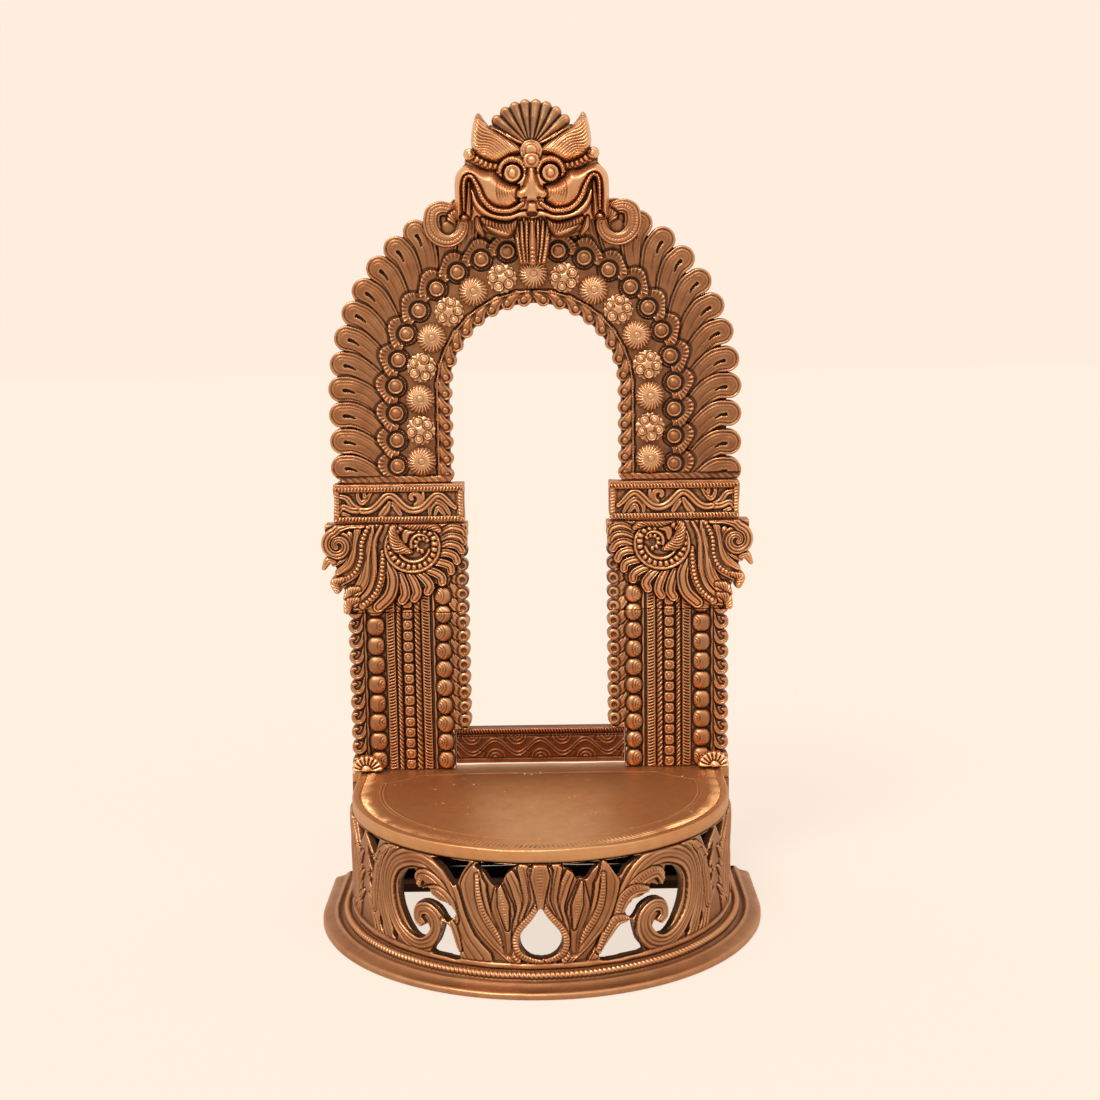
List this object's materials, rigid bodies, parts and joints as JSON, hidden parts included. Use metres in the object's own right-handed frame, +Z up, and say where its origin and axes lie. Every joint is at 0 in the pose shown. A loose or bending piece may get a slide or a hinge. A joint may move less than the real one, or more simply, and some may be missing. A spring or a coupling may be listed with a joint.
{
  "type": "deity throne",
  "caption": "Cast brass deity throne: pierced D-shaped base with a flat seat, and a lift-off back frame with beaded pillars, a feathered arch and a lion mask.",
  "frame": {"origin": "on the ground at the middle of the plan", "axes": "+Z up, the front faces -Y, +X to the viewer's right"},
  "size_m": [0.227, 0.156, 0.4095],
  "materials": {
    "brass": "aged hand-tooled cast brass with dark patina in the recesses",
    "brass_dark": "unpolished cast brass",
    "brass_bright": "worn bright brass",
    "brass_red": "reddish aged brass"
  },
  "bodies": {
    "base": {"foot_plinth": "brass", "pierced_drum": "brass", "seat_plate": "brass", "back_panel": "brass_dark", "left_back_post": "brass_dark", "right_back_post": "brass_dark", "left_tenon_socket": "brass_dark", "right_tenon_socket": "brass_dark"},
    "prabhavali": {"left_tenon": "brass_dark", "right_tenon": "brass_dark", "left_pillar": "brass", "right_pillar": "brass", "left_capital": "brass", "right_capital": "brass", "left_abacus": "brass", "right_abacus": "brass", "left_spine_rod": "brass_dark", "right_spine_rod": "brass_dark", "bottom_rail": "brass_red", "torana_arch": "brass", "kirtimukha_mask": "brass", "mask_rivet": "brass_dark", "left_curl": "brass", "right_curl": "brass", "left_shell": "brass_bright", "right_shell": "brass_bright", "inner_rosette_01": "brass_bright", "inner_rosette_02": "brass_bright", "inner_rosette_03": "brass_bright", "inner_rosette_04": "brass_bright", "inner_rosette_05": "brass_bright", "inner_rosette_06": "brass_bright", "inner_rosette_07": "brass_bright", "inner_rosette_08": "brass_bright", "inner_rosette_09": "brass_bright", "inner_rosette_10": "brass_bright", "inner_rosette_11": "brass_bright", "inner_rosette_12": "brass_bright", "inner_rosette_13": "brass_bright", "inner_rosette_14": "brass_bright", "inner_rosette_15": "brass_bright", "inner_rosette_16": "brass_bright", "inner_rosette_17": "brass_bright"}
  },
  "joints": [
    {"name": "prabhavali_lift", "type": "slide", "parent": "base", "child": "prabhavali", "axis": [0, 0, 1], "range_m": [0, 0.018]}
  ]
}
